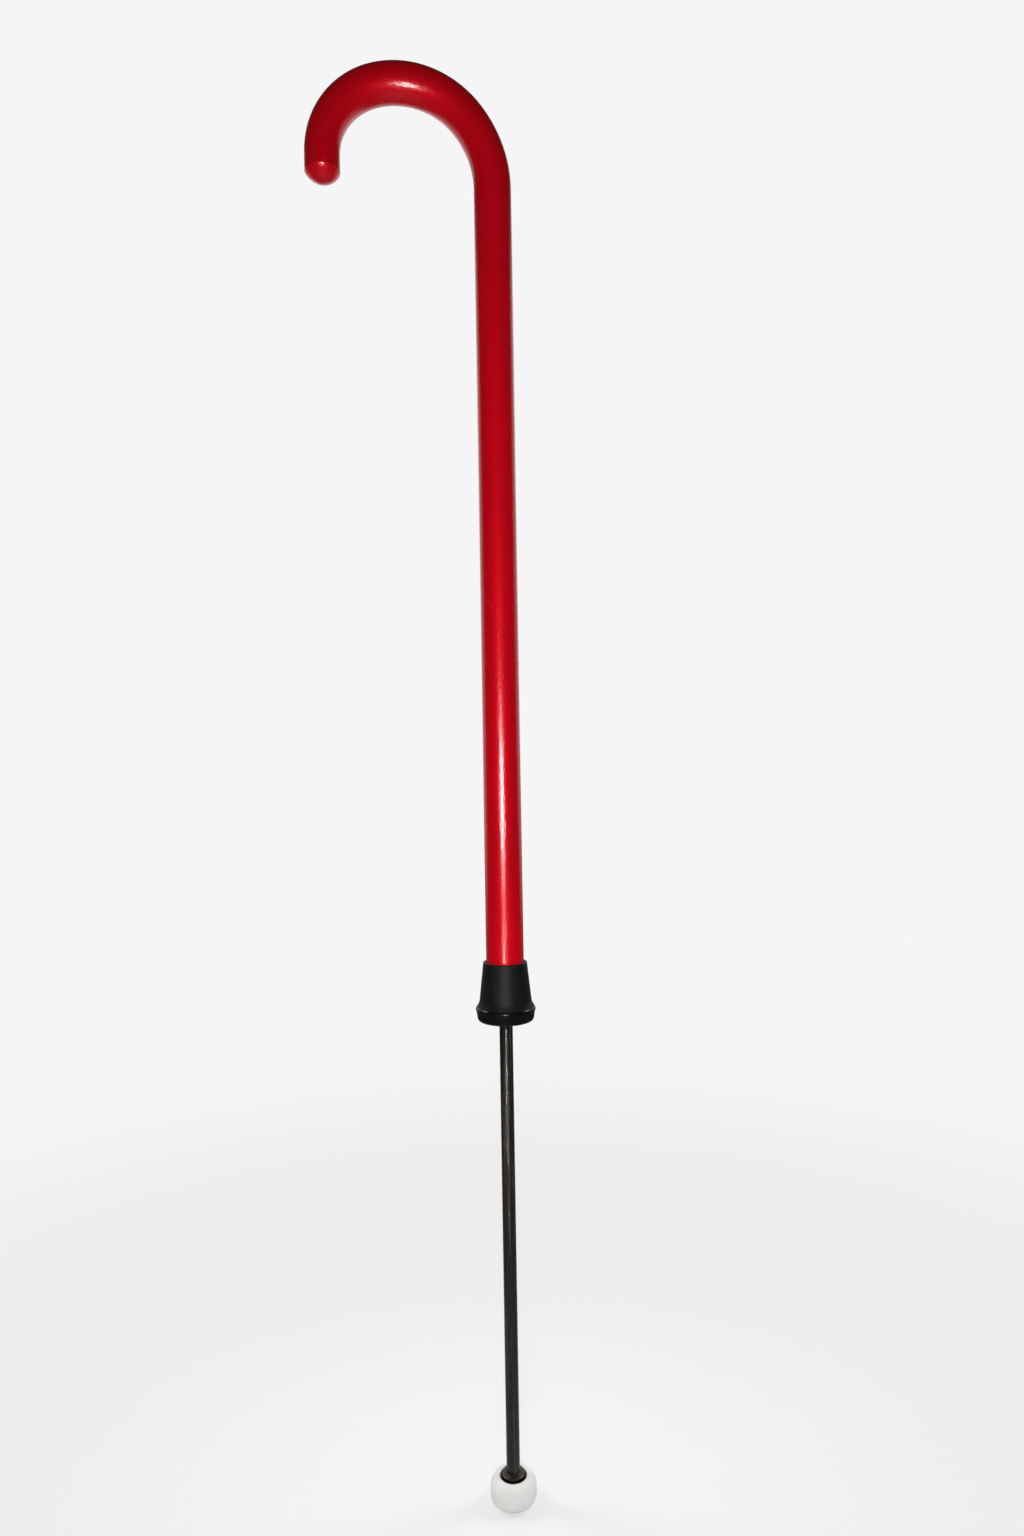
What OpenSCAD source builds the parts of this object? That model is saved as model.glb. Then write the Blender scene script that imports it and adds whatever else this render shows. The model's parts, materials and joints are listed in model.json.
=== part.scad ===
// White cane: a bentwood crook stick with a probing rod that slides out of its lower end.
// +Z runs up the shaft, the origin is the centre of the tip's flat face, and the crook opens towards -X.
// The rod is drawn pulled right out, with its twist lock tight.

/* [Stick] */
// Outside diameter of the stick
stick_d = 22.6; // [22:0.1:24]
// Straight length of the shaft, from its lower end to the start of the bend
shaft_len = 487; // [440:1:560]
// Outside diameter of the liner tube pressed into the shaft
liner_d = 13; // [12.6:0.1:13.4]

/* [Crook] */
// Centre-line radius of the first bend, next to the shaft
bend_r_shaft = 64.4; // [62:0.2:70]
// Centre-line radius of the bend over the top
bend_r_top = 50.4; // [48:0.2:54]
// Centre-line radius of the last bend, next to the crook's end
bend_r_end = 44.6; // [40:0.2:47]
// Angle of the first bend, in degrees
bend_angle_shaft = 40.5; // [30:0.5:50]
// Angle of the bend over the top, in degrees
bend_angle_top = 68; // [55:0.5:80]
// Straight length after the last bend
crook_leg = 12; // [6:1:40]
// Diameter of the crook's end
crook_end_d = 20.8; // [20:0.1:21.6]
// Height of the domed end face
crook_dome = 7; // [4:0.5:9]

/* [Ferrule] */
// Height of the rubber ferrule
ferrule_h = 35; // [30:1:45]
// Diameter of its upper rim
ferrule_rim_d = 26.4; // [26:0.1:27]
// Diameter of its waist, above the foot
ferrule_waist_d = 31.2; // [29:0.1:32]
// Diameter of the ridge round its foot
ferrule_ridge_d = 36; // [35.5:0.5:40]
// Diameter of its foot, below the ridge
ferrule_foot_d = 34.8; // [32:0.2:35]
// Thickness of its floor
ferrule_floor = 9; // [8:0.5:10]

/* [Rod] */
// Diameter of the inner rod
rod_d = 8; // [7.8:0.1:8.2]
// Length of rod that shows below the ferrule when it is pulled out
rod_reach = 270.5; // [268:0.5:300]
// Distance that the rod slides
rod_travel = 265; // [150:5:265]
// Distance that the lock cone moves between tight and slack
cone_travel = 1.2; // [0.8:0.1:1.2]

/* [Tip] */
// Diameter of the roller tip
tip_d = 27.6; // [26:0.2:32]
// Height of the roller tip
tip_h = 15.5; // [15.5:0.1:16]
// Diameter of the flat face that meets the ground
tip_face_d = 18; // [12:1:19]
// Diameter of the dust shield above the tip
shield_d = 14; // [12:0.5:15]
// Number of balls in the tip's bearing
ball_count = 7; // [5:1:7]

/* [Hidden] */
$fn = 96;

// Gaps: between pressed or glued pieces, between running pieces, and round pieces that never touch
snug = 0.02;
running = 0.05;
free_gap = 0.3;
// How far a cutting shape passes through the face it cuts
cut = 1;

// Bearing in the tip: 16 x 5 x 5 mm, with a full ring of small balls in a cage
bearing_d = 16;
bearing_bore_d = 5;
bearing_w = 5;
bearing_z = 5;
bearing_top = bearing_z + bearing_w;
bearing_mid_z = bearing_z + bearing_w / 2;
ball_d = 2.8;
ball_pitch_d = 10.5;
ball_gap = 0.08;
inner_race_d = 8.4;
outer_race_bore_d = 12.6;
cage_wall = 1;
cage_h = 3.8;

// Tip, from the ground upwards
spindle_head_d = 8;
spindle_head_h = 1.8;
spindle_grip = 13;
well_floor_z = 2.6;
well_d = 11;
clip_w = 1.2;
clip_groove = 0.4;
clip_bore_d = 12.4;
clip_slot = 3;
seal_z = bearing_top + clip_w + 0.4;
seal_h = 3;
spacer_d = 7.5;
shield_z = tip_h + 0.5;
shield_h = 1.5;
shield_rim = 0.6;
shield_lip = 0.5;
tip_corner_r = (tip_d - tip_face_d) / 2;
tip_wall_r = tip_d / 2;
tip_shoulder_r = 6.4;

// Rod and lock, from the rod's lower end upwards
rod_z = shield_z + shield_h;
ferrule_z = rod_z + rod_reach;
bush_flange_z = ferrule_z + ferrule_floor;
bush_flange_h = 2;
bush_flange_d = 22;
stick_z = bush_flange_z + bush_flange_h;
bush_barrel = 25;
bush_top = stick_z + bush_barrel;
liner_bore_d = liner_d - 2;
buffer_h = 4;
collar_z = bush_top + buffer_h + running;
collar_h = 8;
collar_d = 10.4;
pin_d = 2;
pin_len = 10;
rod_top = collar_z + 24;
stud_d = 5;
stud_grip = 14;
stud_len = 48;
stud_z = rod_top - stud_grip;
stud_top = stud_z + stud_len;
washer_h = 1;
sleeve_z = rod_top + washer_h + running;
sleeve_h = 22;
sleeve_top = sleeve_z + sleeve_h;
sleeve_d = liner_bore_d - 2 * running;
sleeve_slot_w = 1.2;
sleeve_slot_z = sleeve_z + 7.5;
mouth_z = sleeve_z + 10;
mouth_r_low = 2.6;
mouth_r_high = 4.4;
mouth_slope = (mouth_r_high - mouth_r_low) / (sleeve_top - mouth_z);
ring_z = sleeve_z + 3.6;
ring_r = 1;
ring_groove_h = 2.2;
ring_groove_r = 3.4;
cone_z = mouth_z + 5;
cone_gap = 0.1;
cone_head_d = 9.6;
cone_head_h = 2.8;
cone_head_z = sleeve_top + 0.2;
cone_key_w = 1;
cone_key_h = 4;
cone_key_reach = 10;
nut_z = cone_head_z + cone_head_h + cone_travel + free_gap;
nut_h = 4;
nut_across = 8;

// Top of the liner, above the furthest point that the stud reaches
back_buffer_z = stud_top + rod_travel + 0.5;
back_buffer_h = 5;
plug_z = back_buffer_z + back_buffer_h;
plug_h = 18;
liner_top = plug_z + plug_h;
bore_top = liner_top + 1;
bore_point_h = 4;

// Screws through the bush's flange, and the ferrule's inner details
screw_r = 8.8;
screw_d = 2;
screw_len = 12;
screw_head_d = 3.4;
screw_head_h = 1;
screw_angles = [45, 225];
wiper_d = 10;
ferrule_washer_d = 20;
ferrule_washer_bore_d = 9.4;
ferrule_washer_h = 1.6;
ferrule_washer_z = bush_flange_z - ferrule_washer_h;
foot_corner_r = 2.2;
ridge_z = 6.9;
ridge_edge = 0.6;
waist_z = 11.6;
tread_radii = [7.5, 11];
tread_w = 1.2;
tread_depth = 0.8;

// The crook's three bends, each [centre-line radius, angle], and the shaft's height where they start
bend_z = stick_z + shaft_len;
bends = [
    [bend_r_shaft, bend_angle_shaft],
    [bend_r_top, bend_angle_top],
    [bend_r_end, 180 - bend_angle_shaft - bend_angle_top]
];

bend_taper = 0.04;
bend_lap = 0.5;
leg_lap = 0.5;

// Angle turned before bend i starts
function turned(i) = i == 0 ? 0 : turned(i - 1) + bends[i - 1][1];

// Centre of bend i, as [x, z]: each lies on the line through the end of the one before
function bend_centre(i) = i == 0
    ? [-bends[0][0], bend_z]
    : bend_centre(i - 1) + (bends[i - 1][0] - bends[i][0]) * [cos(turned(i)), sin(turned(i))];

// Where the last bend ends and the crook's leg starts, as [x, z]
leg_top = bend_centre(2) - [bend_r_end, 0];

// Diameter of the stick in bend i: each stretch is a little slimmer than the one before
function bend_d(i) = stick_d - (i + 1) * bend_taper;

// Radius of the expander's tapered mouth at height z
function mouth_r(z) = mouth_r_low + (z - mouth_z) * mouth_slope;

// Round tube or washer standing on z
module ring(z, h, d_out, d_in) {
    translate([0, 0, z])
        difference() {
            cylinder(d = d_out, h = h);
            translate([0, 0, -cut]) cylinder(d = d_in, h = h + 2 * cut);
        }
}

// Hole or rod of diameter d from z up
module post(z, h, d) {
    translate([0, 0, z]) cylinder(d = d, h = h);
}

// One bend of the stick: a stretch of a torus in the XZ plane, which starts inside the stretch before it
module bend(i) {
    centre = bend_centre(i);
    translate([centre[0], 0, centre[1]])
        rotate([90, 0, 0])
            rotate([0, 0, turned(i) - bend_lap])
                rotate_extrude(angle = bends[i][1] + bend_lap)
                    translate([bends[i][0], 0]) circle(d = bend_d(i));
}

// The crook's tapered leg and its domed face, which is part of a ball
module crook_end() {
    end_r = crook_end_d / 2;
    ball_r = (end_r * end_r + crook_dome * crook_dome) / (2 * crook_dome);
    translate([leg_top[0], 0, leg_top[1]])
        mirror([0, 0, 1]) {
            translate([0, 0, -leg_lap])
                cylinder(d1 = bend_d(3), d2 = crook_end_d, h = crook_leg + leg_lap);
            translate([0, 0, crook_leg])
                rotate_extrude()
                    intersection() {
                        translate([0, crook_dome - ball_r]) circle(r = ball_r);
                        square([end_r, crook_dome]);
                    }
        }
}

// Stick, bored for the liner and for the bush's screws
module crook_stick() color([0.75, 0.01, 0.06]) {
    difference() {
        union() {
            post(stick_z, shaft_len, stick_d);
            for (i = [0 : 2]) bend(i);
            crook_end();
        }
        post(stick_z - cut, bore_top - stick_z + cut, liner_d + 2 * snug);
        translate([0, 0, bore_top]) cylinder(d1 = liner_d + 2 * snug, d2 = 1, h = bore_point_h);
        for (a = screw_angles)
            rotate([0, 0, a]) translate([screw_r, 0, stick_z - cut])
                cylinder(d = screw_d + 2 * snug, h = screw_len + cut);
    }
}

module liner_tube() color("silver") {
    ring(stick_z, liner_top - stick_z, liner_d, liner_bore_d);
}

// Outline of the ferrule, from the axis out: a tapered cup that flares to a ridge, and a rounded foot
module ferrule_outline() {
    foot_r = ferrule_foot_d / 2;
    ridge_r = ferrule_ridge_d / 2;
    polygon([[0, foot_corner_r], [foot_r, foot_corner_r], [foot_r, ridge_z - 2 * ridge_edge],
             [ridge_r, ridge_z - ridge_edge], [ridge_r, ridge_z], [ferrule_waist_d / 2, waist_z],
             [ferrule_rim_d / 2, ferrule_h], [0, ferrule_h]]);
    translate([foot_r - foot_corner_r, foot_corner_r]) circle(r = foot_corner_r);
    square([foot_r - foot_corner_r, foot_corner_r]);
}

module rubber_ferrule() color([0.05, 0.05, 0.05]) {
    difference() {
        translate([0, 0, ferrule_z])
            rotate_extrude()
                ferrule_outline();
        post(bush_flange_z, ferrule_h, stick_d + 2 * snug);
        post(ferrule_z - cut, ferrule_h, rod_d + 2 * free_gap);
        post(ferrule_washer_z, ferrule_h, ferrule_washer_d + 2 * snug);
        for (r = tread_radii)
            ring(ferrule_z - cut, cut + tread_depth, 2 * r + tread_w, 2 * r - tread_w);
    }
}

module ferrule_washer() color("gray") {
    ring(ferrule_washer_z, ferrule_washer_h, ferrule_washer_d, ferrule_washer_bore_d);
}

// Flanged bush: the barrel lines the tube's mouth, and the wiper sits in the flange
module guide_bush() color("ivory") {
    difference() {
        union() {
            post(bush_flange_z, bush_flange_h, bush_flange_d);
            post(stick_z - snug, bush_barrel + snug, liner_bore_d - 2 * snug);
        }
        post(bush_flange_z - cut, bush_top, rod_d + 2 * running);
        post(bush_flange_z - cut, bush_flange_h + cut, wiper_d + 2 * snug);
        for (a = screw_angles)
            rotate([0, 0, a]) translate([screw_r, 0, 0]) screw(snug, cut);
    }
}

// Countersunk wood screw, head down, or the hole for it when it is grown by a gap
module screw(gap, head_cut) {
    head_top = bush_flange_z + screw_head_h;
    post(bush_flange_z - head_cut, head_cut, screw_head_d + 2 * gap);
    translate([0, 0, bush_flange_z])
        cylinder(d1 = screw_head_d + 2 * gap, d2 = screw_d + 2 * gap, h = screw_head_h);
    post(head_top, screw_len - 4 - screw_head_h, screw_d + 2 * gap);
    translate([0, 0, bush_flange_z + screw_len - 4])
        cylinder(d1 = screw_d + 2 * gap, d2 = screw_d / 4, h = 4);
}

module bush_screws() color("gold") {
    for (a = screw_angles)
        rotate([0, 0, a]) translate([screw_r, 0, 0])
            difference() {
                screw(0, 0);
                translate([-screw_head_d, -0.25, bush_flange_z - cut])
                    cube([2 * screw_head_d, 0.5, cut + 0.5]);
            }
}

module rod_wiper() color("dimgray") {
    ring(bush_flange_z, bush_flange_h - snug, wiper_d, rod_d + 2 * running);
}

module extension_buffer() color([0.1, 0.1, 0.1]) {
    ring(bush_top, buffer_h, liner_bore_d - 2 * running, rod_d + 2 * free_gap);
}

module retraction_buffer() color([0.1, 0.1, 0.1]) {
    post(back_buffer_z, back_buffer_h, liner_bore_d - 2 * snug);
}

module liner_plug() color("burlywood") {
    post(plug_z, plug_h, liner_bore_d - 2 * snug);
}

// Slotted sleeve: a solid base on the stud, four fingers above it, and a tapered mouth
module expander_sleeve() color("white") {
    difference() {
        post(sleeve_z, sleeve_h, sleeve_d);
        post(sleeve_z - cut, sleeve_h, stud_d + 2 * running);
        translate([0, 0, mouth_z])
            cylinder(r1 = mouth_r_low, r2 = mouth_r_high + cut * mouth_slope, h = sleeve_top - mouth_z + cut);
        for (a = [0, 90])
            rotate([0, 0, a]) translate([-liner_d / 2, -sleeve_slot_w / 2, sleeve_slot_z])
                cube([liner_d, sleeve_slot_w, sleeve_h]);
        ring(ring_z - ring_groove_h / 2, ring_groove_h, liner_d, 2 * ring_groove_r);
    }
}

module drag_ring() color([0.1, 0.1, 0.1]) {
    translate([0, 0, ring_z])
        rotate_extrude()
            translate([ring_groove_r + running + ring_r, 0]) circle(r = ring_r);
}

// Cone with two keys that slide in the sleeve's slots, so that it can't turn with the stud
module lock_cone() color("goldenrod") {
    difference() {
        union() {
            translate([0, 0, cone_z])
                cylinder(r1 = mouth_r(cone_z) - cone_gap, r2 = mouth_r(sleeve_top) - cone_gap,
                         h = sleeve_top - cone_z);
            post(sleeve_top, cone_head_z - sleeve_top, 2 * (mouth_r(sleeve_top) - cone_gap));
            post(cone_head_z, cone_head_h, cone_head_d);
            translate([-cone_key_reach / 2, -cone_key_w / 2, cone_head_z - cone_key_h])
                cube([cone_key_reach, cone_key_w, cone_key_h]);
        }
        post(cone_z - cut, sleeve_h, stud_d + 2 * running);
    }
}

// Rod, tapped at both ends and cross-drilled for the collar's pin
module inner_rod() color([0.16, 0.15, 0.14]) {
    difference() {
        post(rod_z, rod_top - rod_z, rod_d);
        post(stud_z - 0.5, stud_grip + cut, stud_d + 2 * snug);
        post(rod_z - cut, spindle_grip + cut + 0.5, bearing_bore_d + 2 * snug);
        collar_pin_hole();
    }
}

module collar_pin_hole() {
    translate([0, 0, collar_z + collar_h / 2])
        rotate([0, 90, 0]) cylinder(d = pin_d + 2 * snug, h = liner_d, center = true);
}

module stop_collar() color("slategray") {
    difference() {
        ring(collar_z, collar_h, collar_d, rod_d + 2 * snug);
        collar_pin_hole();
    }
}

// Rolled spring pin: a split tube
module collar_pin() color("silver") {
    translate([0, 0, collar_z + collar_h / 2])
        rotate([0, 90, 0])
            difference() {
                cylinder(d = pin_d, h = pin_len, center = true);
                cylinder(d = pin_d / 2, h = pin_len + 2 * cut, center = true);
                translate([0, -pin_d / 16, -pin_len / 2 - cut]) cube([pin_d, pin_d / 8, pin_len + 2 * cut]);
            }
}

module lock_stud() color("lightsteelblue") {
    post(stud_z, stud_len, stud_d);
}

module thrust_washer() color("silver") {
    ring(rod_top, washer_h, collar_d - 0.4, stud_d + 2 * snug);
}

module end_nut() color("silver") {
    translate([0, 0, nut_z])
        difference() {
            cylinder(d = nut_across / cos(30), h = nut_h, $fn = 6);
            translate([0, 0, -cut]) cylinder(d = stud_d + 2 * snug, h = nut_h + 2 * cut);
        }
}

// Dished washer under the rod's end, with its rim turned down towards the tip
module tip_shield() color([0.14, 0.12, 0.11]) {
    difference() {
        union() {
            post(shield_z, shield_lip, shield_d);
            translate([0, 0, shield_z + shield_lip])
                cylinder(d1 = shield_d, d2 = rod_d + 1, h = shield_h - shield_lip);
        }
        post(shield_z - cut, shield_h + 2 * cut, bearing_bore_d + 2 * snug);
        ring(shield_z - cut, shield_lip + cut, shield_d - 2 * shield_rim, spacer_d);
    }
}

module tip_spacer() color("silver") {
    ring(bearing_top, shield_z - bearing_top, spacer_d, bearing_bore_d + 2 * snug);
}

// Shoulder screw: its head carries the bearing, and its upper end is screwed into the rod
module tip_spindle() color("silver") {
    difference() {
        union() {
            post(bearing_z - spindle_head_h, spindle_head_h, spindle_head_d);
            post(bearing_z, rod_z + spindle_grip - bearing_z, bearing_bore_d);
        }
        translate([0, 0, bearing_z - spindle_head_h - cut])
            cylinder(d = 3 / cos(30), h = spindle_head_h + cut - 0.4, $fn = 6);
    }
}

// Groove that the balls run in
module ball_track() {
    translate([0, 0, bearing_mid_z])
        rotate_extrude()
            translate([ball_pitch_d / 2, 0]) circle(d = ball_d + 2 * ball_gap);
}

module bearing_inner_race() color("lightgray") {
    difference() {
        ring(bearing_z, bearing_w, inner_race_d, bearing_bore_d + 2 * snug);
        ball_track();
    }
}

module bearing_outer_race() color("lightgray") {
    difference() {
        ring(bearing_z, bearing_w, bearing_d, outer_race_bore_d);
        ball_track();
    }
}

// The balls, or the pockets for them when they are grown by a gap
module ball_circle(gap) {
    for (i = [0 : ball_count - 1])
        rotate([0, 0, i * 360 / ball_count])
            translate([ball_pitch_d / 2, 0, bearing_mid_z])
                sphere(d = ball_d + 2 * gap, $fn = 48);
}

module bearing_balls() color("gainsboro") {
    ball_circle(0);
}

module bearing_cage() color("darkkhaki") {
    difference() {
        ring(bearing_mid_z - cage_h / 2, cage_h, ball_pitch_d + cage_wall, ball_pitch_d - cage_wall);
        ball_circle(running);
    }
}

// Outline of the roller tip, from the axis out: flat face, round corner, wall and domed shoulder
module tip_outline() {
    shoulder_z = tip_h - tip_shoulder_r;
    intersection() {
        union() {
            translate([tip_face_d / 2, tip_corner_r]) circle(r = tip_corner_r);
            square([tip_face_d / 2, tip_corner_r]);
            translate([0, tip_corner_r]) square([tip_wall_r, shoulder_z - tip_corner_r + snug]);
            translate([tip_wall_r - tip_shoulder_r, shoulder_z]) circle(r = tip_shoulder_r);
            translate([0, shoulder_z]) square([tip_wall_r - tip_shoulder_r, tip_shoulder_r]);
        }
        square([tip_d, tip_h]);
    }
}

// Tip with a stepped pocket for the bearing, its clip and its seal, and a well for the spindle's head
module roller_tip() color("whitesmoke") {
    difference() {
        rotate_extrude() tip_outline();
        post(bearing_z, tip_h, bearing_d + 2 * snug);
        post(well_floor_z, tip_h, well_d);
        post(bearing_top, clip_w, bearing_d + 2 * clip_groove + 2 * snug);
    }
}

// Spring clip: a split ring in the tip's groove
module retaining_ring() color("dimgray") {
    difference() {
        ring(bearing_top, clip_w - snug, bearing_d + 2 * clip_groove, clip_bore_d);
        translate([0, -clip_slot / 2, bearing_top - cut]) cube([bearing_d, clip_slot, clip_w + 2 * cut]);
    }
}

module dust_seal() color([0.12, 0.12, 0.12]) {
    ring(seal_z, seal_h, bearing_d, spacer_d + 2 * free_gap);
}

crook_stick();
liner_tube();
rubber_ferrule();
ferrule_washer();
guide_bush();
bush_screws();
rod_wiper();
extension_buffer();
retraction_buffer();
liner_plug();
expander_sleeve();
drag_ring();
lock_cone();
inner_rod();
stop_collar();
collar_pin();
lock_stud();
thrust_washer();
end_nut();
tip_shield();
tip_spacer();
tip_spindle();
bearing_inner_race();
bearing_balls();
bearing_cage();
roller_tip();
bearing_outer_race();
retaining_ring();
dust_seal();
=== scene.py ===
import json
import math
import bpy
from mathutils import Matrix, Vector


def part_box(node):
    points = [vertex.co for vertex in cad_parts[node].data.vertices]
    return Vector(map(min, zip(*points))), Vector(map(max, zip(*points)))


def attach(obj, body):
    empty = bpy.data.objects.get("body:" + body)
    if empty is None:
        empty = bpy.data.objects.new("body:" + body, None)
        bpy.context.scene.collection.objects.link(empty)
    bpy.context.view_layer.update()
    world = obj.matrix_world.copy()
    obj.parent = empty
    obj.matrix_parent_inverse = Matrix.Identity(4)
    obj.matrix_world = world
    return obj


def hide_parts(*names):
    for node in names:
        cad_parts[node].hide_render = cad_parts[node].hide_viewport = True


# A red crook stick with a rubber ferrule, and a thin rod with a white roller tip that slides out of it.
# Five outer pieces of the CAD frame get a finer mesh here, and every piece gets a material.

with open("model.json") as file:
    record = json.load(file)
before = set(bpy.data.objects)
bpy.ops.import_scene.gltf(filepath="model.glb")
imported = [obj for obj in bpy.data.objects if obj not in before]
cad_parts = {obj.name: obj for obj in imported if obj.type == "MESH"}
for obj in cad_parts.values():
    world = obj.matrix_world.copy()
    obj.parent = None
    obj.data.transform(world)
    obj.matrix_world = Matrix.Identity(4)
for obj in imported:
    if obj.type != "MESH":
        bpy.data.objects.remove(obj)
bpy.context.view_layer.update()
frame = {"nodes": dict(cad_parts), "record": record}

MM = 0.001

# ---------------------------------------------------------------- driving sizes, in millimetres

STICK_R = 11.27            # skin of the stick, a hair inside its CAD tube
SKIN_DEPTH = 0.03          # how far the hand-finished skin dips from that radius
CROOK_END_R = 10.35        # radius at the crook's end
BORE_R = 6.52
BORE_SPARE = 1.0           # how far the bore runs on above the liner
BORE_POINT = 4.0           # depth of the drill point above the bore
BEND_RADII = (64.4, 50.4, 44.6)      # shaft side, over the top, end side
BEND_ANGLES = (40.5, 68.0, 71.5)     # degrees
BEND_STEP = 1.5            # degrees between rings round a bend
CROOK_LEG = 12.0           # straight length after the last bend
DOME_H = 5.5
DOME_EDGE = 1.4            # rounding between the stick's side and its domed end
TAPER = 95                 # length over which the stick thins towards the crook's end
RIDGE_UP = 6.9             # height of the ferrule's ridge above its foot

# ---------------------------------------------------------------- places taken from the frame, in millimetres


def node_box(node):
    """Lowest and highest corner of a CAD node, in millimetres."""
    low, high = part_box(node)
    return [c / MM for c in low], [c / MM for c in high]


STICK_LOW, STICK_HIGH = node_box("crook_stick")
LINER_HIGH = node_box("liner_tube")[1]
FERRULE_LOW, FERRULE_HIGH = node_box("rubber_ferrule")
ROD_LOW, ROD_HIGH = node_box("inner_rod")
TIP_LOW, TIP_HIGH = node_box("roller_tip")
SHIELD_LOW, SHIELD_HIGH = node_box("tip_shield")
BUSH_LOW = node_box("guide_bush")[0]
SHAFT_TOP = STICK_HIGH[2] - STICK_R - BEND_RADII[1] - (
    (BEND_RADII[0] - BEND_RADII[1]) * math.sin(math.radians(BEND_ANGLES[0])))

# ---------------------------------------------------------------- mesh helpers


def new_piece(name, vertices, faces, body, replaced, straight=None):
    """A smooth mesh piece from millimetre points, riding on a CAD body and standing for a CAD node.
    straight gives each point's place as if the piece were straightened, in metres."""
    mesh = bpy.data.meshes.new(name)
    mesh.from_pydata([Vector(v) * MM for v in vertices], [], faces)
    mesh.shade_smooth()
    if straight is not None:
        layer = mesh.attributes.new("straight", "FLOAT_VECTOR", "POINT")
        layer.data.foreach_set("vector", [c for v in straight for c in v])
    piece = bpy.data.objects.new(name, mesh)
    bpy.context.scene.collection.objects.link(piece)
    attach(piece, body)
    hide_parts(replaced)
    return piece


def ring_faces(rings, segments, closed):
    """Quads between rings of vertices; closed joins the last ring to the first."""
    faces = []
    last = rings if closed else rings - 1
    for i in range(last):
        a, b = i * segments, ((i + 1) % rings) * segments
        for j in range(segments):
            k = (j + 1) % segments
            faces.append((a + j, a + k, b + k, b + j))
    return faces


def arc(centre_r, centre_z, radius, start, end, steps):
    """Points (r, z) on an arc, with angles in degrees from the +r direction towards +z."""
    points = []
    for i in range(steps + 1):
        a = math.radians(start + (end - start) * i / steps)
        points.append((centre_r + radius * math.cos(a), centre_z + radius * math.sin(a)))
    return points


def lathe(name, outline, body, replaced, segments, shift=None):
    """A ring turned about the Z axis from a closed outline of (r, z), listed anticlockwise.
    shift(r, angle) may return a small change of radius."""
    vertices = []
    for r, z in outline:
        for j in range(segments):
            a = 2 * math.pi * j / segments
            shifted_r = r + (shift(r, a) if shift else 0)
            vertices.append((shifted_r * math.cos(a), shifted_r * math.sin(a), z))
    return new_piece(name, vertices, ring_faces(len(outline), segments, True), body, replaced)


def sharpen(piece, angle=35):
    """Keeps edges steeper than angle crisp while the rest is shaded smooth."""
    piece.data.set_sharp_from_angle(angle=math.radians(angle))


# ---------------------------------------------------------------- crook stick


def bend_centres():
    """Centre (x, z) of each bend, with the angle turned before it, in degrees."""
    centres, turned = [], 0.0
    x, z = -BEND_RADII[0], SHAFT_TOP
    for i, angle in enumerate(BEND_ANGLES):
        if i:
            step = BEND_RADII[i - 1] - BEND_RADII[i]
            x += step * math.cos(math.radians(turned))
            z += step * math.sin(math.radians(turned))
        centres.append((x, z, turned))
        turned += angle
    return centres


def stick_path():
    """The stick's centre line, as (x, z, direction in degrees from +x, distance along it)."""
    path = []
    shaft_steps = 120
    bottom = STICK_LOW[2]
    for i in range(shaft_steps):
        z = bottom + (SHAFT_TOP - bottom) * i / shaft_steps
        path.append((0.0, z, 90.0, z - bottom))
    along = SHAFT_TOP - bottom
    for (cx, cz, turned), radius, angle in zip(bend_centres(), BEND_RADII, BEND_ANGLES):
        steps = round(angle / BEND_STEP)
        for i in range(steps):
            a = turned + angle * i / steps
            path.append((cx + radius * math.cos(math.radians(a)), cz + radius * math.sin(math.radians(a)),
                         90.0 + a, along + math.radians(a - turned) * radius))
        along += math.radians(angle) * radius
    end_x, end_z, _ = bend_centres()[-1]
    end_x -= BEND_RADII[-1]
    leg_steps = 6
    straight_leg = CROOK_LEG - DOME_EDGE
    for i in range(leg_steps + 1):
        down = straight_leg * i / leg_steps
        path.append((end_x, end_z - down, 270.0, along + down))
    return path


def skin_radius(along, angle, length):
    """Radius of the stick's hand-finished skin, with long soft hollows and the taper to the crook's end."""
    t = min(max((along - length + TAPER) / TAPER, 0.0), 1.0)
    base = STICK_R + (CROOK_END_R - STICK_R) * t * t * (3 - 2 * t)
    # three waves of unlike length, between -3 and 3, so that no hollow repeats
    soft = (math.sin(along / 23.0 + 2.1 * math.sin(angle)) + math.sin(along / 9.7 + 1.3 + 2 * angle)
            + math.sin(3 * angle + along / 41.0))
    return base - SKIN_DEPTH * (0.5 + soft / 6)


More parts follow.
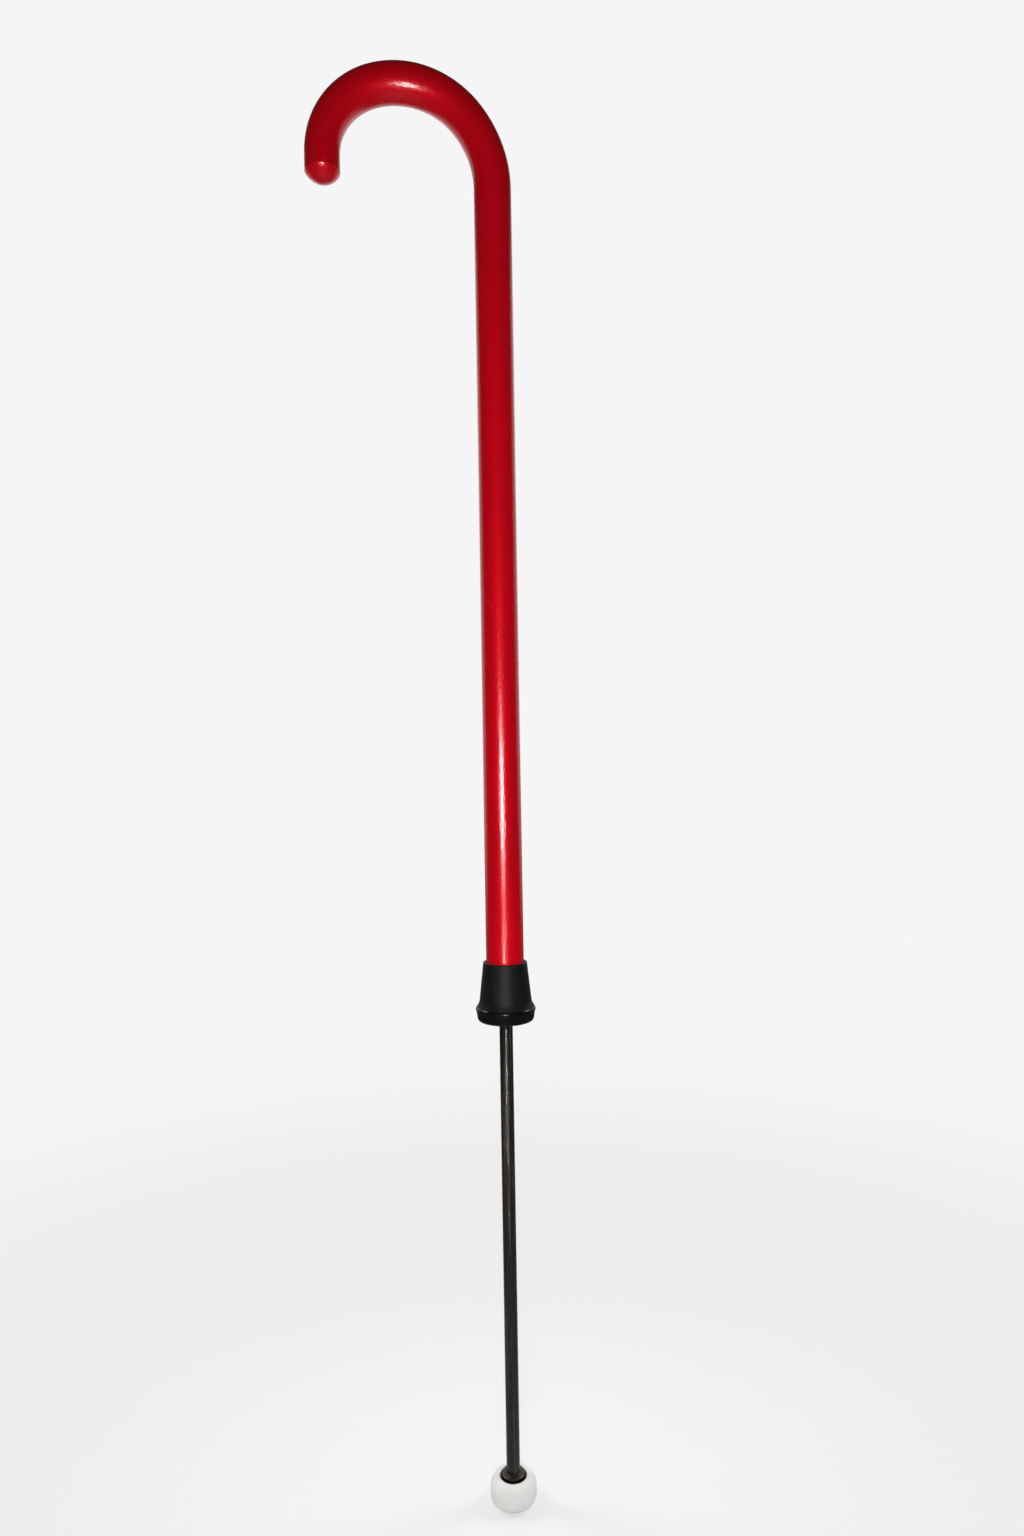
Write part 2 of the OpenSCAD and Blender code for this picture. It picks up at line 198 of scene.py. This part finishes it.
def build_stick():
    """Bored shaft, crook and domed end in one closed skin."""
    segments = 96
    bottom = STICK_LOW[2]
    bore_top = LINER_HIGH[2] + BORE_SPARE
    bore_point_r, dome_tip_r = 0.05, 0.02
    edge, bevel = 0.5, 0.15
    path = stick_path()
    end_x, end_z, _, length = path[-1]
    # (x, z, direction, radius or None for the skin, distance along)
    rings = [(0.0, bore_top + BORE_POINT, 90.0, bore_point_r, 0.0), (0.0, bore_top, 90.0, BORE_R, 0.0)]
    rings += [(0.0, bottom, 90.0, BORE_R, 0.0), (0.0, bottom, 90.0, STICK_R - edge, 0.0)]
    rings += [(0.0, bottom + bevel, 90.0, STICK_R - bevel, 2 * bevel)]
    rings += [(x, z, d, None, s) for x, z, d, s in path if s > edge]
    # rounded edge, which turns until it meets the dome
    full_ball_r = (CROOK_END_R ** 2 + DOME_H ** 2) / (2 * DOME_H)
    turn = 90 - math.degrees(math.asin(CROOK_END_R / full_ball_r))
    edge_steps = 4
    for i in range(1, edge_steps + 1):
        a = math.radians(turn * i / edge_steps)
        rings.append((end_x, end_z - DOME_EDGE * math.sin(a), 270.0,
                      CROOK_END_R - DOME_EDGE * (1 - math.cos(a)), length + DOME_EDGE * math.sin(a)))
    # dome, which is part of a ball
    low_r, low_z, low_s = rings[-1][3], rings[-1][1], rings[-1][4]
    dome_steps = 12
    ball_r = low_r / math.cos(math.radians(turn))
    for i in range(1, dome_steps + 1):
        a = math.radians(turn + (90 - turn) * i / dome_steps)
        drop = ball_r * (math.sin(a) - math.sin(math.radians(turn)))
        rings.append((end_x, low_z - drop, 270.0, max(ball_r * math.cos(a), dome_tip_r), low_s + drop))
    vertices, straight = [], []
    for x, z, direction, radius, along in rings:
        d = math.radians(direction)
        side = Vector((math.sin(d), 0, -math.cos(d)))
        for j in range(segments):
            a = 2 * math.pi * j / segments
            r = radius if radius is not None else skin_radius(along, a, length)
            offset = side * (r * math.cos(a)) + Vector((0, r * math.sin(a), 0))
            vertices.append((x + offset.x, offset.y, z + offset.z))
            straight.append((r * math.cos(a) * MM, r * math.sin(a) * MM, along * MM))
    faces = ring_faces(len(rings), segments, False)
    faces.append(tuple(range(segments - 1, -1, -1)))
    last = (len(rings) - 1) * segments
    faces.append(tuple(range(last, last + segments)))
    stick = new_piece("crook_stick_skin", vertices, faces, "stick", "crook_stick", straight)
    sharpen(stick, 40)
    return stick


# ---------------------------------------------------------------- rubber ferrule


def build_ferrule():
    """Moulded cup with a thin rim, a flare, a ridge, a rounded foot, treads and two mould seams."""
    low, high = FERRULE_LOW[2], FERRULE_HIGH[2]
    ridge_r = FERRULE_HIGH[0] - 0.03
    foot_r, heel_r, waist_r, rim_r = 17.4, 17.0, 15.55, 13.2
    bore_r, hole_r = 11.34, 4.3
    washer_r, washer_low, floor_z = 10.02, BUSH_LOW[2] - 1.6, BUSH_LOW[2]
    tread_w, tread_depth = 1.2, 0.8
    outline = [(hole_r, washer_low), (hole_r, low + 0.4), (hole_r + 0.4, low)]
    for r in (7.5, 11.0):
        outline += [(r - tread_w / 2, low), (r - tread_w / 2 + 0.15, low + tread_depth),
                    (r + tread_w / 2 - 0.15, low + tread_depth), (r + tread_w / 2, low)]
    heel = 2.1
    outline += arc(heel_r - heel, low + heel, heel, -90, -4, 10)
    outline += [(foot_r, low + 4.6), (foot_r + 0.04, low + 5.2), (foot_r + 0.14, low + 5.65),
                (foot_r + 0.28, low + 5.95)]
    ridge = 1.8
    outline += arc(ridge_r - ridge, low + RIDGE_UP, ridge, -24, 50, 12)
    # flare from the ridge, full at first and hollow where it meets the wall
    outline += [(17.1, low + 8.6), (16.8, low + 9.2), (16.5, low + 9.8)]
    outline += [(16.2, low + 10.4), (15.95, low + 10.9), (15.78, low + 11.4), (15.66, low + 11.9)]
    wall_low, wall_high, wall_steps = low + 12.6, high - 0.7, 14
    for i in range(wall_steps + 1):
        t = i / wall_steps
        outline.append((waist_r + (rim_r - waist_r) * t, wall_low + (wall_high - wall_low) * t))
    outline += arc(rim_r - 0.6, high - 0.6, 0.6, 20, 90, 4)
    outline += [(bore_r + 0.5, high), (bore_r + 0.15, high - 0.12), (bore_r, high - 0.5), (bore_r, floor_z)]
    outline += [(washer_r, floor_z), (washer_r, washer_low)]

    seams = (math.radians(-98), math.radians(82))
    seam_depth, seam_half_width = 0.07, math.radians(1.6)
    inside_r = 12

    def seam(r, angle):
        """A shallow groove down each seam, on the outside only."""
        if r < inside_r:
            return 0
        near = min(abs(math.atan2(math.sin(angle - s), math.cos(angle - s))) for s in seams)
        return -seam_depth * max(0.0, 1 - near / seam_half_width)

    ferrule = lathe("rubber_ferrule_cup", outline, "stick", "rubber_ferrule", 240, seam)
    sharpen(ferrule, 50)
    return ferrule


# ---------------------------------------------------------------- rod and tip


def build_rod():
    """Rod with turned chamfers at both ends and its tapped holes."""
    low, high, r = ROD_LOW[2], ROD_HIGH[2], ROD_HIGH[0]
    hole_r, low_hole, high_hole, chamfer = 2.52, 13.5, 14.5, 0.35
    outline = [(hole_r, low + low_hole), (hole_r, low), (r - chamfer, low), (r, low + chamfer)]
    steps = 60
    outline += [(r, low + chamfer + (high - low - 2 * chamfer) * i / steps) for i in range(1, steps)]
    outline += [(r, high - chamfer), (r - chamfer, high), (hole_r, high), (hole_r, high - high_hole)]
    segments = 64
    rod = lathe("inner_rod_bar", outline, "rod", "inner_rod", segments)
    close_middle(rod, len(outline), segments)
    sharpen(rod)
    return rod


def close_middle(piece, rings, segments):
    """Replaces the wall between a lathe's last ring and its first by a flat disc on each of the two."""
    mesh = piece.data
    last = (rings - 1) * segments
    faces = [tuple(p.vertices) for p in mesh.polygons][:last]
    faces.append(tuple(range(segments - 1, -1, -1)))
    faces.append(tuple(range(last, last + segments)))
    points = [tuple(v.co) for v in mesh.vertices]
    mesh.clear_geometry()
    mesh.from_pydata(points, [], faces)
    mesh.shade_smooth()


def build_shield():
    """Dished steel washer with a rolled lower rim."""
    low, high, rim = SHIELD_LOW[2], SHIELD_HIGH[2], SHIELD_HIGH[0]
    hole_r, boss_r, top_r = 2.52, 3.75, 4.45
    outline = [(hole_r, high), (hole_r, low), (boss_r, low), (boss_r, low + 0.5), (rim - 0.65, low + 0.5)]
    outline += [(rim - 0.6, low + 0.1), (rim - 0.45, low)]
    outline += arc(rim - 0.25, low + 0.25, 0.25, -90, 50, 5)
    steps = 5
    for i in range(1, steps + 1):
        t = i / steps
        outline.append((rim - 0.15 + (top_r - rim + 0.15) * t, low + 0.45 + (high - low - 0.5) * t ** 0.8))
    outline.append((top_r - 0.1, high))
    shield = lathe("tip_shield_dish", outline, "rod", "tip_shield", 96)
    sharpen(shield)
    return shield


def build_tip():
    """Turned nylon roller: flat face, full round sides, domed shoulder and the stepped bearing pocket."""
    low, high, wall_r = TIP_LOW[2], TIP_HIGH[2], TIP_HIGH[0] - 0.02
    face_r, corner, shoulder, shoulder_end = 9.0, 4.78, 6.4, 68
    middle_r, face_steps = 0.05, 6
    pocket_r, well_r, groove_r = 8.02, 5.5, 8.42
    bearing_low, bearing_high = (c[2] for c in node_box("bearing_outer_race"))
    well_z, clip_w = 2.6, 1.2
    mouth = 0.35
    outline = [(middle_r, low)]
    outline += [(face_r * i / face_steps, low) for i in range(1, face_steps)]
    outline += arc(wall_r - corner, low + corner, corner, -90, 0, 14)
    outline += arc(wall_r - shoulder, high - shoulder, shoulder, 0, shoulder_end, 14)
    top_r = wall_r - shoulder + shoulder * math.cos(math.radians(shoulder_end))
    outline += [(top_r - 0.6, high - 0.12), (pocket_r + mouth + 0.2, high), (pocket_r + 0.05, high - mouth)]
    outline += [(pocket_r, bearing_high + clip_w), (groove_r, bearing_high + clip_w)]
    outline += [(groove_r, bearing_high), (pocket_r, bearing_high), (pocket_r, bearing_low)]
    outline += [(well_r, bearing_low), (well_r, well_z), (middle_r, well_z)]
    segments = 128
    tip = lathe("roller_tip_body", outline, "roller", "roller_tip", segments)
    close_middle(tip, len(outline), segments)
    sharpen(tip)
    return tip


# ---------------------------------------------------------------- shader helpers


class Nodes:
    """A node tree, with short calls for adding and linking its nodes."""

    def __init__(self, tree):
        self.nodes = tree.nodes
        self.links = tree.links

    def put(self, socket, value):
        """Links an output to a socket, or sets the socket's own value."""
        if isinstance(value, bpy.types.NodeSocket):
            self.links.new(value, socket)
        else:
            socket.default_value = value

    def add(self, kind, inputs=(), output=0, **settings):
        """Adds a node, sets its properties and inputs, and returns one of its outputs."""
        node = self.nodes.new("ShaderNode" + kind)
        for key, value in settings.items():
            setattr(node, key, value)
        for key, value in dict(inputs).items():
            self.put(node.inputs[key], value)
        return node.outputs[output]

    def math(self, operation, first, second):
        return self.add("Math", {0: first, 1: second}, operation=operation)

    def remap(self, value, low, high, to_low, to_high):
        return self.add("MapRange", {"Value": value, "From Min": low, "From Max": high,
                                     "To Min": to_low, "To Max": to_high})

    def part(self, vector, axis):
        return self.add("SeparateXYZ", {"Vector": vector}, output=axis)

    def light_path(self):
        """Is Camera Ray, and the highest of camera, glossy and transmission rays."""
        camera_ray = self.add("LightPath", output="Is Camera Ray")
        highest = camera_ray
        for name in ("Is Glossy Ray", "Is Transmission Ray"):
            highest = self.math("MAXIMUM", highest, camera_ray.node.outputs[name])
        return camera_ray, highest


class Shader(Nodes):
    """A new Principled material."""

    def __init__(self, name, **constants):
        self.material = bpy.data.materials.new(name)
        self.material.use_nodes = True
        super().__init__(self.material.node_tree)
        self.surface = self.nodes["Principled BSDF"]
        self.set(**constants)

    def set(self, **sockets):
        """Links outputs or sets values on the Principled shader's sockets."""
        for socket, value in sockets.items():
            self.put(self.surface.inputs[socket.replace("_", " ")], value)

    def object_place(self):
        return self.add("TexCoord", output="Object")

    def straight_place(self):
        """Place on the stick as if it were straightened, in metres."""
        return self.add("Attribute", output="Vector", attribute_name="straight")

    def stretch(self, vector, scale):
        return self.add("Mapping", {"Vector": vector, "Scale": scale})

    def noise(self, vector, scale=1.0, detail=2.0, roughness=0.5):
        return self.add("TexNoise", {"Vector": vector, "Scale": scale, "Detail": detail,
                                     "Roughness": roughness})

    def cells(self, vector, scale):
        """Distance to the nearest point of scattered cells."""
        return self.add("TexVoronoi", {"Vector": vector, "Scale": scale}, output="Distance")

    def blend(self, factor, first, second):
        """Mix of two colours."""
        return self.add("Mix", {0: factor, 6: first, 7: second}, output=2, data_type="RGBA")

    def bump(self, height, distance, normal=None):
        inputs = {"Height": height, "Distance": distance, "Strength": 1.0}
        if normal is not None:
            inputs["Normal"] = normal
        return self.add("Bump", inputs)


def rgba(r, g, b):
    return (r, g, b, 1.0)


# ---------------------------------------------------------------- materials


def red_lacquer():
    """Glossy red lacquer over a bent stick: sanding rings and grain break its highlights into streaks."""
    s = Shader("red_lacquer", IOR=1.5, Metallic=0.28, Roughness=0.52, Specular_IOR_Level=0.0,
               Coat_Weight=1.0, Coat_IOR=1.5, Coat_Roughness=0.19)
    place = s.straight_place()
    tone = s.noise(s.stretch(place, (60, 60, 14)), detail=3.0)
    red = s.blend(s.remap(tone, 0.3, 0.7, 0.0, 1.0), rgba(0.54, 0.0, 0.006), rgba(0.62, 0.0, 0.009))
    nibs = s.cells(s.stretch(place, (170, 170, 110)), 1.0)
    nib_height = s.remap(nibs, 0.0, 0.08, 1.0, 0.0)
    s.set(Base_Color=s.blend(s.math("MULTIPLY", nib_height, 0.35), red, rgba(0.8, 0.12, 0.14)))
    # sanding rings run round the stick, grain and runs of lacquer run along it
    rings = s.noise(s.stretch(place, (300, 300, 2000)), detail=2.0)
    grain = s.noise(s.stretch(place, (900, 900, 120)), detail=3.0, roughness=0.6)
    fibres = s.noise(s.stretch(place, (2400, 2400, 260)), detail=2.0)
    dimples = s.noise(s.stretch(place, (800, 800, 420)), detail=2.0)
    skin = s.bump(rings, 0.00004)
    skin = s.bump(grain, 0.00005, skin)
    skin = s.bump(fibres, 0.00005, skin)
    skin = s.bump(dimples, 0.00010, skin)
    skin = s.bump(nib_height, 0.00006, skin)
    s.set(Normal=skin, Coat_Normal=skin)
    return s.material


def black_rubber():
    """Moulded rubber: fine pitted skin, faint bloom, a little dust, and a shine on the ridge and foot."""
    s = Shader("black_rubber", IOR=1.5, Specular_IOR_Level=0.16)
    place = s.object_place()
    bloom = s.noise(place, 120, detail=5.0, roughness=0.6)
    dust = s.cells(place, 190)
    specks = s.remap(dust, 0.0, 0.06, 1.0, 0.0)
    bloom_share = s.remap(bloom, 0.35, 0.75, 0.0, 1.0)
    base = s.blend(bloom_share, rgba(0.003, 0.003, 0.003), rgba(0.008, 0.008, 0.008))
    s.set(Base_Color=s.blend(s.math("MULTIPLY", specks, 0.35), base, rgba(0.2, 0.2, 0.19)))
    ridge_z = (FERRULE_LOW[2] + RIDGE_UP) * MM
    above_ridge = s.math("SUBTRACT", s.part(place, "Z"), ridge_z)
    matt = s.remap(bloom, 0.3, 0.7, 0.48, 0.60)
    s.set(Roughness=s.math("MULTIPLY", matt, s.remap(above_ridge, 0.0011, 0.0022, 0.30, 1.0)))
    pits = s.noise(place, 2200, detail=3.0)
    skin = s.bump(pits, 0.00002)
    s.set(Normal=s.bump(bloom, 0.0001, skin))
    return s.material


def dark_steel():
    """Darkened bar, polished along its length: brown, olive and grey streaks in near-black oxide."""
    s = Shader("dark_steel", IOR=1.5, Specular_IOR_Level=0.6)
    place = s.object_place()
    waver = s.noise(s.stretch(place, (60, 60, 22)), detail=2.0)
    sway = s.add("VectorMath", {0: waver, 1: (0.0009, 0.0009, 0)}, operation="MULTIPLY")
    streak_place = s.add("VectorMath", {0: place, 1: sway}, operation="ADD")
    streaks = s.noise(s.stretch(streak_place, (800, 800, 16)), detail=5.0, roughness=0.6)
    tints = s.noise(s.stretch(streak_place, (420, 420, 10)), detail=3.0)
    tint_share = s.remap(tints, 0.4, 0.6, 0.0, 1.0)
    dark = s.blend(tint_share, rgba(0.003, 0.0027, 0.0023), rgba(0.009, 0.006, 0.004))
    pale = s.blend(tint_share, rgba(0.054, 0.050, 0.044), rgba(0.040, 0.025, 0.015))
    s.set(Base_Color=s.blend(s.remap(streaks, 0.48, 0.78, 0.0, 1.0), dark, pale))
    s.set(Roughness=s.remap(streaks, 0.3, 0.7, 0.16, 0.28))
    rings = s.noise(s.stretch(place, (600, 600, 2200)), detail=2.0)
    hairlines = s.noise(s.stretch(streak_place, (2400, 2400, 120)), detail=3.0)
    skin = s.bump(rings, 0.00009)
    skin = s.bump(hairlines, 0.00007, skin)
    s.set(Normal=s.bump(streaks, 0.00002, skin))
    return s.material


def dark_shield():
    """Darkened pressed steel with rubbed edges."""
    s = Shader("dark_shield", IOR=1.5, Metallic=0.6)
    place = s.object_place()
    wear = s.noise(place, 420, detail=5.0, roughness=0.65)
    worn = s.remap(wear, 0.45, 0.7, 0.0, 1.0)
    s.set(Base_Color=s.blend(worn, rgba(0.018, 0.014, 0.011), rgba(0.09, 0.07, 0.05)))
    s.set(Roughness=s.remap(wear, 0.3, 0.7, 0.28, 0.45))
    s.set(Normal=s.bump(wear, 0.00003))
    return s.material


def white_nylon():
    """Turned nylon, rubbed by the ground: fine turning rings, scuffs and dust in them."""
    s = Shader("white_nylon", IOR=1.52, Subsurface_Weight=0.15, Subsurface_Scale=0.002)
    place = s.object_place()
    scuffs = s.noise(s.stretch(place, (260, 260, 700)), detail=6.0, roughness=0.65)
    worn_foot = s.remap(s.part(place, "Z"), 0.0, 0.006, 0.7, 0.12)
    grime = s.math("MULTIPLY", s.remap(scuffs, 0.5, 0.72, 0.0, 1.0), worn_foot)
    s.set(Base_Color=s.blend(grime, rgba(0.80, 0.80, 0.785), rgba(0.56, 0.55, 0.52)))
    s.set(Roughness=s.remap(scuffs, 0.3, 0.7, 0.34, 0.52))
    rings = s.noise(s.stretch(place, (20, 20, 2600)), detail=2.0)
    skin = s.bump(rings, 0.00003)
    s.set(Normal=s.bump(scuffs, 0.00005, skin))
    return s.material


def metal(name, colour, tint, rough, stretch):
    """Turned, ground or plated metal: a base colour with a tint in patches, and fine tool marks."""
    s = Shader(name, Metallic=1.0)
    place = s.object_place()
    patches = s.noise(place, 300, detail=4.0)
    marks = s.noise(s.stretch(place, stretch), detail=3.0)
    s.set(Base_Color=s.blend(s.remap(patches, 0.3, 0.7, 0.0, 1.0), rgba(*colour), rgba(*tint)))
    s.set(Roughness=s.remap(marks, 0.3, 0.7, rough, rough + 0.14))
    s.set(Normal=s.bump(marks, 0.00001))
    return s.material


def soft_plain(name, colour, tint, rough, grain, depth):
    """Nylon, felt or bare wood: a base colour with a tint along its grain."""
    s = Shader(name, IOR=1.5)
    place = s.stretch(s.object_place(), grain)
    figure = s.noise(place, detail=5.0, roughness=0.6)
    s.set(Base_Color=s.blend(s.remap(figure, 0.35, 0.7, 0.0, 1.0), rgba(*colour), rgba(*tint)))
    s.set(Roughness=s.remap(figure, 0.3, 0.7, rough, rough + 0.15))
    s.set(Normal=s.bump(figure, depth))
    return s.material


MATERIALS = {
    "red_lacquer": red_lacquer(),
    "black_rubber": black_rubber(),
    "dark_steel": dark_steel(),
    "dark_shield": dark_shield(),
    "white_nylon": white_nylon(),
    "plated_steel": metal("plated_steel", (0.55, 0.55, 0.56), (0.62, 0.60, 0.55), 0.24, (300, 300, 5000)),
    "bearing_steel": metal("bearing_steel", (0.68, 0.68, 0.69), (0.60, 0.60, 0.61), 0.08, (400, 400, 9000)),
    "aluminium_tube": metal("aluminium_tube", (0.68, 0.69, 0.70), (0.60, 0.61, 0.62), 0.26, (3000, 3000, 30)),
    "turned_brass": metal("turned_brass", (0.70, 0.52, 0.22), (0.60, 0.42, 0.18), 0.20, (300, 300, 6000)),
    "cage_brass": metal("cage_brass", (0.68, 0.50, 0.22), (0.55, 0.40, 0.18), 0.28, (900, 900, 900)),
    "brass_screws": metal("brass_screws", (0.72, 0.54, 0.24), (0.60, 0.44, 0.20), 0.22, (400, 400, 5000)),
    "cream_nylon": soft_plain("cream_nylon", (0.72, 0.68, 0.56), (0.62, 0.58, 0.46), 0.36,
                              (300, 300, 900), 0.00003),
    "grey_felt": soft_plain("grey_felt", (0.10, 0.10, 0.10), (0.22, 0.22, 0.21), 0.80,
                            (2600, 2600, 2600), 0.0002),
    "beech": soft_plain("beech", (0.46, 0.27, 0.13), (0.58, 0.38, 0.20), 0.50, (900, 900, 60), 0.00005),
}


def dress(piece, material):
    piece.data.materials.clear()
    piece.data.materials.append(material)


def dress_cad_nodes():
    """Each CAD node that is still shown takes the material of its slot in the record."""
    slots = {row["node"]: row["material_slot"] for row in frame["record"]["subparts"]}
    for node, piece in frame["nodes"].items():
        for index in range(len(piece.material_slots)):
            piece.material_slots[index].link = "OBJECT"
            piece.material_slots[index].material = MATERIALS[slots[node]]


dress(build_stick(), MATERIALS["red_lacquer"])
dress(build_ferrule(), MATERIALS["black_rubber"])
dress(build_rod(), MATERIALS["dark_steel"])
dress(build_shield(), MATERIALS["dark_shield"])
dress(build_tip(), MATERIALS["white_nylon"])
dress_cad_nodes()

# ---------------------------------------------------------------- camera

PICTURE_HEIGHT = 1536      # pixels
FOCAL_LENGTH = 958         # pixels, fitted to the photo's perspective
SENSOR = 36.0              # millimetres
CAMERA_DISTANCE = 0.575    # metres from the shaft
CAMERA_HEIGHT = 0.439
CAMERA_SIDE = 0.0061       # how far the camera stands to the right of the shaft
CAMERA_TURN = math.radians(8.0)      # round the shaft, towards the crook's open side
CAMERA_ROLL = math.radians(0.94)

forward = Vector((math.sin(CAMERA_TURN), math.cos(CAMERA_TURN), 0))
level_right = Vector((math.cos(CAMERA_TURN), -math.sin(CAMERA_TURN), 0))
up = Vector((0, 0, 1))


def build_camera():
    """Makes the camera and returns its place."""
    data = bpy.data.cameras.new("camera")
    data.lens = FOCAL_LENGTH / PICTURE_HEIGHT * SENSOR
    data.sensor_width = SENSOR
    data.clip_start = 0.01
    camera = bpy.data.objects.new("camera", data)
    # the picture's own axes, after the roll
    right = level_right * math.cos(CAMERA_ROLL) - up * math.sin(CAMERA_ROLL)
    top = up * math.cos(CAMERA_ROLL) + level_right * math.sin(CAMERA_ROLL)
    turn = Matrix((right, top, -forward)).transposed().to_4x4()
    place = up * CAMERA_HEIGHT - forward * CAMERA_DISTANCE + level_right * CAMERA_SIDE
    camera.matrix_world = Matrix.Translation(place) @ turn
    bpy.context.scene.collection.objects.link(camera)
    bpy.context.scene.camera = camera
    return place


# ---------------------------------------------------------------- floor and light

PALE = 0.915               # background, as a strength where 1 is white
BACKDROP = 0.30            # share of it that gloss sees behind the cane
DIM_ROOM = 0.014           # share of it that gloss sees in front of the cane
AMBIENT_LEVEL = 0.26       # soft light from the horizon and below
AMBIENT_TOP = 0.14         # soft light from near overhead
FLOOR_BACKDROP = 0.09      # share of the background that gloss sees in the floor behind the cane
FLOOR_ROOM = 0.03          # the same in front of the cane
FLOOR_NEAR = 0.46          # share of the plain background in the floor beside the tip
FLOOR_REACH = 1.0          # metres over which the lit floor fades into the plain background
FLOOR_FADE = 0.4           # below 1, the fade is quick beside the tip and slow further out


def floor_material():
    """Pale matte floor that keeps the cane's shadow and fades into the plain background."""
    s = Shader("pale_floor", Base_Color=rgba(0.85, 0.85, 0.85), Roughness=0.9)
    place = s.object_place()
    away = s.add("VectorMath", {0: place}, output="Value", operation="LENGTH")
    fade = s.math("POWER", s.remap(away, 0.0, FLOOR_REACH, 0.0, 1.0), FLOOR_FADE)
    far = s.remap(fade, 0.0, 1.0, FLOOR_NEAR, 1.0)
    camera_ray, background_ray = s.light_path()
    bearing = s.add("VectorMath", {0: place}, operation="NORMALIZE")
    backdrop = s.remap(s.part(bearing, "Y"), 0.5, 1.0, FLOOR_ROOM, FLOOR_BACKDROP)
    strength = s.math("MULTIPLY", s.math("MAXIMUM", camera_ray, backdrop), PALE)
    glow = s.add("Emission", {"Color": rgba(1, 1, 1), "Strength": strength})
    share = s.math("MULTIPLY", far, background_ray)
    shown = s.add("MixShader", {0: share, 1: s.surface.outputs[0], 2: glow})
    s.put(s.nodes["Material Output"].inputs["Surface"], shown)
    return s.material


def build_floor():
    """One large level face, wide enough to reach the picture's far edge from any side."""
    size = 30.0
    mesh = bpy.data.meshes.new("floor")
    corners = [(-size, -size, 0), (size, -size, 0), (size, size, 0), (-size, size, 0)]
    mesh.from_pydata(corners, [], [(0, 1, 2, 3)])
    floor = bpy.data.objects.new("floor", mesh)
    bpy.context.scene.collection.objects.link(floor)
    dress(floor, floor_material())


def build_world():
    """Plain pale background for the camera, with soft dim ambient light.
    Gloss sees the background behind the cane and a dim room in front of it."""
    world = bpy.data.worlds.new("room")
    bpy.context.scene.world = world
    world.use_nodes = True
    w = Nodes(world.node_tree)
    direction = w.add("TexCoord", output="Generated")
    camera_ray, background_ray = w.light_path()

    ambient = w.nodes["Background"]
    ambient.inputs["Color"].default_value = rgba(1, 1, 1)
    level = w.remap(w.part(direction, "Z"), 0.0, 0.9, AMBIENT_LEVEL, AMBIENT_TOP)
    w.put(ambient.inputs["Strength"], level)

    backdrop = w.remap(w.part(direction, "Y"), 0.5, 1.0, DIM_ROOM * PALE, BACKDROP * PALE)
    strength = w.math("MAXIMUM", w.math("MULTIPLY", camera_ray, PALE), backdrop)
    pale = w.add("Background", {"Color": rgba(1, 1, 1), "Strength": strength})
    shown = w.add("MixShader", {0: background_ray, 1: ambient.outputs[0], 2: pale})
    w.put(w.nodes["World Output"].inputs["Surface"], shown)


def area_light(name, place, target, size, power, spread=180):
    """A round lamp that faces its target; size in metres, power in watts, spread in degrees."""
    data = bpy.data.lights.new(name, "AREA")
    data.shape = "DISK"
    data.size = size
    data.energy = power
    data.spread = math.radians(spread)
    light = bpy.data.objects.new(name, data)
    light.location = place
    light.rotation_mode = "QUATERNION"
    light.rotation_quaternion = (place - target).to_track_quat("Z", "Y")
    light.visible_camera = False
    bpy.context.scene.collection.objects.link(light)


def build_lights(camera_place):
    """A small key lamp by the camera, a low one for the rod and the shaft's lower end, large soft ones
    behind and beside, and two narrow ones aimed at the tip and the floor round it."""
    shaft_high, shaft_middle, rod_middle, tip = up * 0.66, up * 0.42, up * 0.18, Vector((0, 0, 0))
    key_place = camera_place - level_right * 0.020 - up * 0.036
    low_place = up * 0.11 - forward * 0.9 - level_right * 0.03
    back_place = forward * 1.4 + up * 1.0
    area_light("key", key_place, shaft_high, size=0.08, power=2.9)
    area_light("low_fill", low_place, rod_middle, size=0.04, power=0.11, spread=25)
    area_light("back", back_place, shaft_middle, size=1.9, power=6.5)
    for number, side in enumerate((-1, 1)):
        side_place = forward * 1.1 + level_right * side * 1.1 + up * 0.8
        floor_place = forward * 0.3 + level_right * side * 0.8 + up * 0.9
        area_light(f"side_{number}", side_place, shaft_middle, size=1.5, power=3.5)
        area_light(f"floor_{number}", floor_place, tip, size=0.4, power=0.26, spread=35)


build_floor()
build_world()
build_lights(build_camera())

bpy.context.scene.view_settings.view_transform = "Standard"
